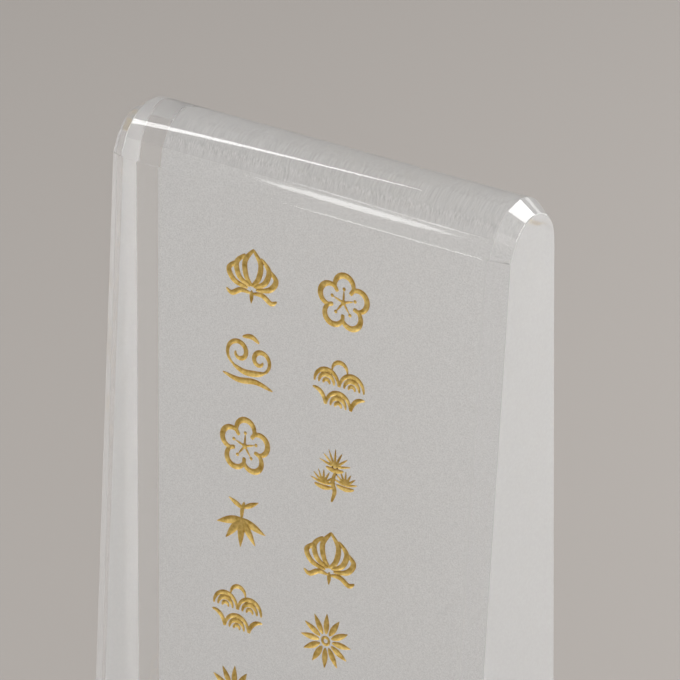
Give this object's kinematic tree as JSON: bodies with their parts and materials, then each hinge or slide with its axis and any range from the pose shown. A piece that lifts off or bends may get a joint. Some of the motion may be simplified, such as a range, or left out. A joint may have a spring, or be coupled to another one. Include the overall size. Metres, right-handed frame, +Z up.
{
  "type": "crystal memorial tablet",
  "caption": "Leaning slab of clear crystal with a round top, a narrow top facet and bevelled edges, bonded upright on a stepped crystal plinth with clear bumper feet.",
  "frame": {"origin": "middle of the object's footprint, on the plane that its feet rest on", "axes": "+Z up; the carved front faces -Y; +X is to the right when the front is seen from -Y"},
  "size_m": [0.092, 0.057, 0.1656],
  "materials": {
    "crystal": "polished optical glass, with a sand-blasted back on the tablet",
    "clear_adhesive": "clear cured adhesive",
    "clear_silicone": "translucent soft silicone",
    "gold_fill": "gold paint laid in the carved grooves"
  },
  "bodies": {
    "root": {"crystal_tablet": "crystal", "bond_film_tablet": "clear_adhesive", "plinth_step": "crystal", "bond_film_step": "clear_adhesive", "plinth_base": "crystal", "foot_front_left": "clear_silicone", "foot_front_right": "clear_silicone", "foot_rear_left": "clear_silicone", "foot_rear_right": "clear_silicone"}
  },
  "joints": []
}
